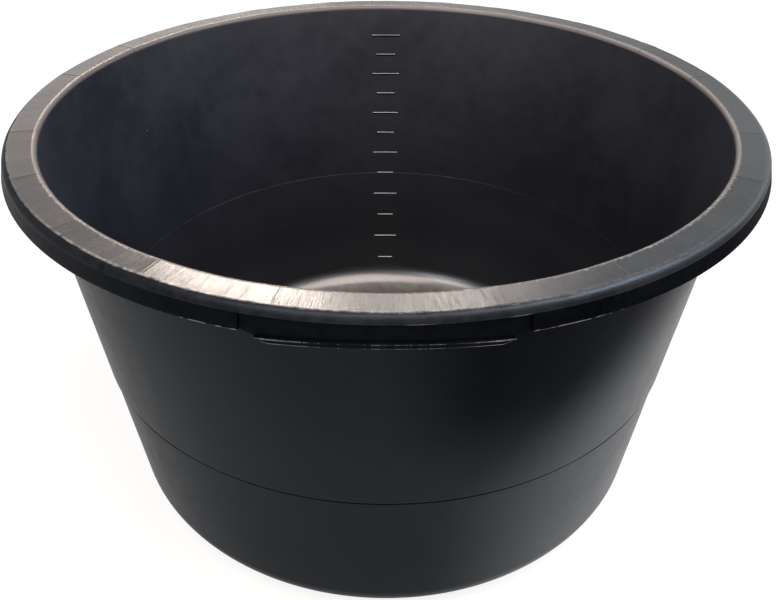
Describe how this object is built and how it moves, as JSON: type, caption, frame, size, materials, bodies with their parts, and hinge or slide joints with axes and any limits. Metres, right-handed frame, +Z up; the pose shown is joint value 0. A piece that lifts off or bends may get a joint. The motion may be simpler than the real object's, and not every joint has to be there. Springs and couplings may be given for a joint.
{
  "type": "mortar mixing tub",
  "caption": "Round open plastic tub with sloping walls, a wide flat rolled rim, a grip on two opposite sides and raised litre marks inside.",
  "frame": {"origin": "centre of the footprint, on the ground", "axes": "+Z up along the tub's axis, the front grip towards -Y, the litre marks on the inside of the +Y wall"},
  "size_m": [0.6126, 0.6122, 0.3455],
  "materials": {
    "satin_black_plastic": "satin black polyethylene, faint flow marks and scuffs",
    "worn_rim_plastic": "black polyethylene rubbed grey, fine scratches across the flat top, chipped outer edge",
    "rim_plastic": "dull black polyethylene with a slightly grained moulded surface"
  },
  "bodies": {
    "root": {"foot_ring": "satin_black_plastic", "floor_panel": "satin_black_plastic", "gate_mark": "satin_black_plastic", "bottom_corner": "satin_black_plastic", "lower_wall": "satin_black_plastic", "wall_step": "satin_black_plastic", "upper_wall": "satin_black_plastic", "rim_land": "worn_rim_plastic", "rim_shoulder": "worn_rim_plastic", "skirt_right": "rim_plastic", "skirt_left": "rim_plastic", "front_grip_panel": "rim_plastic", "front_grip_lip": "rim_plastic", "rear_grip_panel": "rim_plastic", "rear_grip_lip": "rim_plastic", "rim_ribs": "rim_plastic", "front_grip_ribs": "rim_plastic", "rear_grip_ribs": "rim_plastic", "long_litre_marks": "satin_black_plastic", "short_litre_marks": "satin_black_plastic"}
  },
  "joints": []
}
